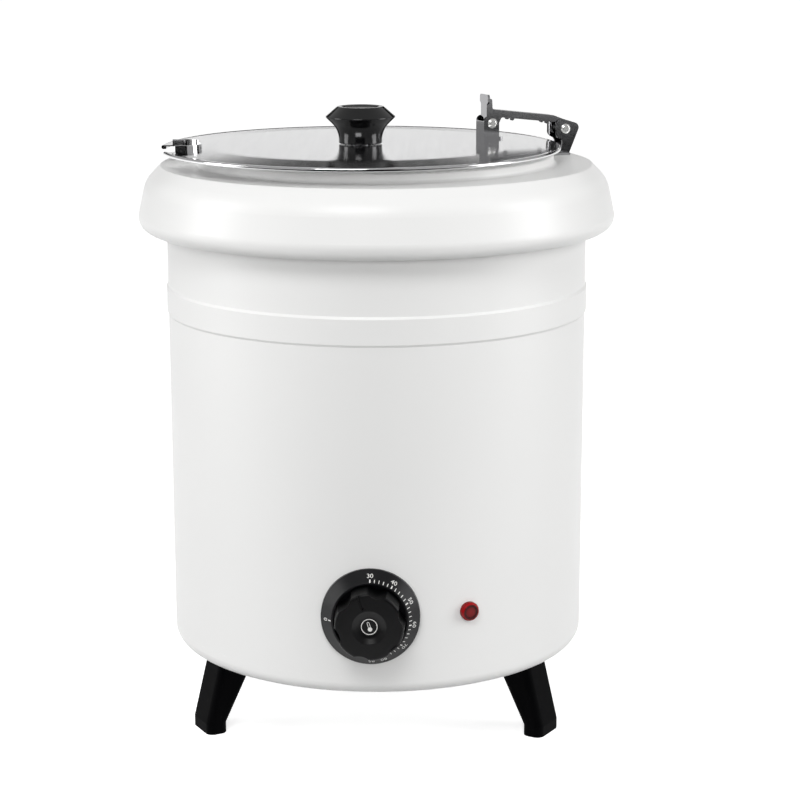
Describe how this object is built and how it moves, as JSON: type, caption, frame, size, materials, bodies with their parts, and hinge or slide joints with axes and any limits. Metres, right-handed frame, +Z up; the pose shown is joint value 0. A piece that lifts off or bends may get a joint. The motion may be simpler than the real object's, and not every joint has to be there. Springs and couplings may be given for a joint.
{
  "type": "soup kettle",
  "caption": "Round electric soup kettle on splayed feet: insulated body with a rolled rim, lift-out pot, hinged lid with ladle notch, dial thermostat and pilot lamp.",
  "frame": {"origin": "kettle axis at the floor under the feet", "axes": "+Z up, -Y toward the dial at the front, +X to the right seen from the front"},
  "size_m": [0.3172, 0.3224, 0.4183],
  "materials": {
    "white_powder_coat": "satin",
    "stainless": "polished",
    "hinge_steel": "polished",
    "zinc_steel": "satin",
    "element_sheath": "satin",
    "copper": "satin",
    "black_bakelite": "gloss",
    "black_dial": "satin",
    "black_foot": "satin",
    "black_nylon": "matte",
    "terminal_plastic": "matte",
    "red_lens": "gloss"
  },
  "bodies": {
    "kettle": {"outer_casing": "white_powder_coat", "base_pan": "white_powder_coat", "rim_ring": "white_powder_coat", "soup_pot": "stainless", "water_well": "stainless", "hinge_base": "hinge_steel", "base_pivot_pin": "hinge_steel", "hinge_base_screws": "hinge_steel", "hinge_base_nuts": "hinge_steel", "tie_rods": "zinc_steel", "clamp_nuts": "zinc_steel", "base_nuts": "zinc_steel", "foot_screws": "zinc_steel", "foot_nuts": "zinc_steel", "element_clamp_plate": "zinc_steel", "thermostat_bridge": "zinc_steel", "thermostat_screws": "zinc_steel", "heating_element": "element_sheath", "sensor_bulb": "copper", "capillary_tube": "copper", "dial_bezel": "black_dial", "foot_left": "black_foot", "foot_right": "black_foot", "foot_rear": "black_foot", "cord_gland": "black_nylon", "gland_nut": "black_nylon", "lamp_holder": "black_nylon", "lamp_nut": "black_nylon", "thermostat_body": "black_nylon", "thermal_cutout": "black_nylon", "terminal_block": "terminal_plastic", "lamp_lens": "red_lens"},
    "hinge_arm": {"hinge_arm": "hinge_steel"},
    "lid": {"lid": "stainless", "lid_knob": "black_bakelite", "lid_knob_spacer": "hinge_steel", "lid_knob_screw": "hinge_steel", "lid_bracket": "hinge_steel", "lid_bracket_rivets": "hinge_steel", "lid_pivot_pin": "hinge_steel"},
    "knob": {"control_knob": "black_dial", "thermostat_spindle": "zinc_steel"}
  },
  "joints": [
    {"name": "arm_pivot", "type": "hinge", "parent": "kettle", "child": "hinge_arm", "pos_m": [0.12526, 0.05035, 0.3937], "axis": [-0.373, 0.9278, 0], "range_deg": [0, 92]},
    {"name": "lid_pivot", "type": "hinge", "parent": "hinge_arm", "child": "lid", "pos_m": [0.07497, 0.03014, 0.3992], "axis": [-0.373, 0.9278, 0], "range_deg": [0, 13.8]},
    {"name": "knob_turn", "type": "hinge", "parent": "kettle", "child": "knob", "pos_m": [0, -0.15, 0.1051], "axis": [0, 1, 0], "range_deg": [-80, 215]}
  ],
  "couplings": [
    {"joint": "lid_pivot", "follows": "arm_pivot", "ratio": 0.15}
  ]
}
